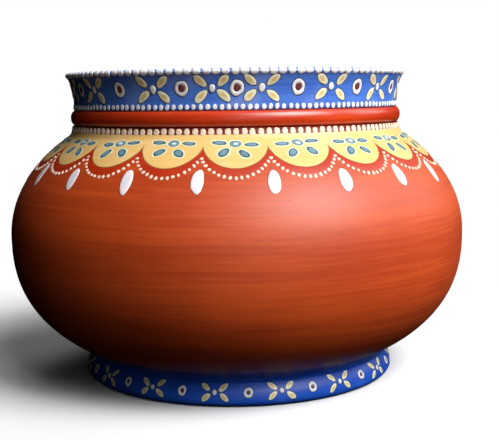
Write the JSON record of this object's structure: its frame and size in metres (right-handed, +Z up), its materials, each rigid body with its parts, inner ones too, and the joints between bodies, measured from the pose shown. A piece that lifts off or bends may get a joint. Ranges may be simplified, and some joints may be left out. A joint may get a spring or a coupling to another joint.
{
  "type": "painted clay pot oil lamp",
  "caption": "Round-bellied painted terracotta pot on a foot ring, with a lift-out clay oil cup and a cotton wick inside.",
  "frame": {"origin": "centre of the foot ring's underside, on the table", "axes": "+Z up along the pot's turning axis; -Y is the side seen from the front; +X is the cup's spout side"},
  "size_m": [0.202, 0.202, 0.1344],
  "materials": {
    "painted_terracotta": "gloss",
    "raw_terracotta": "matte",
    "blue_paint": "satin",
    "red_glaze_paint": "gloss",
    "cream_paint": "satin",
    "white_paint": "satin",
    "yellow_paint": "satin",
    "maroon_paint": "satin",
    "slate_blue_paint": "satin",
    "lamp_oil": "polished",
    "cotton": "matte"
  },
  "bodies": {
    "pot": {"belly": "painted_terracotta", "foot_ring": "blue_paint", "neck_rim": "blue_paint", "collar_bead": "red_glaze_paint", "cream_panel": "cream_paint", "red_border": "red_glaze_paint", "lip_dots": "white_paint", "band_petals": "yellow_paint", "band_flower_centres": "white_paint", "band_rings": "white_paint", "band_ring_centres": "maroon_paint", "band_edge_dots": "white_paint", "neck_dashes": "white_paint", "daisy_petals": "slate_blue_paint", "daisy_centres": "slate_blue_paint", "scallop_dots": "white_paint", "shoulder_drops": "white_paint", "foot_petals": "yellow_paint", "foot_flower_centres": "white_paint", "foot_rings": "white_paint", "foot_ring_centres": "maroon_paint"},
    "lamp_cup": {"oil_cup": "raw_terracotta", "oil": "lamp_oil"},
    "lamp_wick": {"wick": "cotton"}
  },
  "joints": [
    {"name": "cup_lift", "type": "slide", "parent": "pot", "child": "lamp_cup", "axis": [0, 0, 1], "range_m": [0, 0.145]},
    {"name": "wick_feed", "type": "slide", "parent": "lamp_cup", "child": "lamp_wick", "axis": [0.9563, 0, 0.2924], "range_m": [0, 0.008]}
  ]
}
